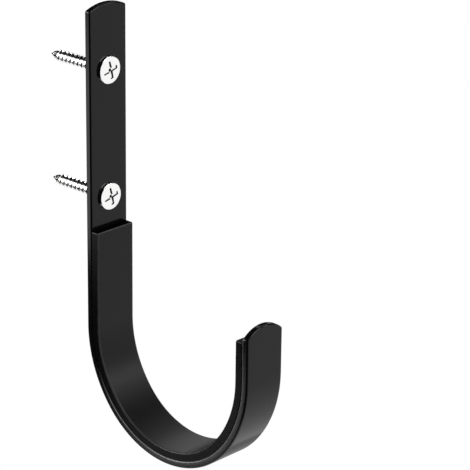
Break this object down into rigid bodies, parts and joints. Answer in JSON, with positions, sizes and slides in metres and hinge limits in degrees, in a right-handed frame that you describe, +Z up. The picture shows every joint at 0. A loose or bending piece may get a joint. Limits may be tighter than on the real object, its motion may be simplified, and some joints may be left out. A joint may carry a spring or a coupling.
{
  "type": "garage utility hook",
  "caption": "J-shaped flat-bar wall hook with a rubber liner along its inside and washer-head screws through its back leg, for hanging tools, hoses or a bicycle.",
  "frame": {"origin": "on the wall, at the middle of the back leg's rear face, half-way between the two screws", "axes": "X across the bar's width, +Y into the wall, +Z up; the J opens upwards and its front leg stands at -Y"},
  "size_m": [0.02, 0.1197, 0.183],
  "materials": {
    "powder_coat": "satin black powder coat on mild steel",
    "liner_rubber": "matt black moulded rubber",
    "zinc_plate": "bright zinc-plated steel"
  },
  "bodies": {
    "root": {"hook_bar": "powder_coat", "liner": "liner_rubber", "mounting_screws": "zinc_plate"}
  },
  "joints": []
}
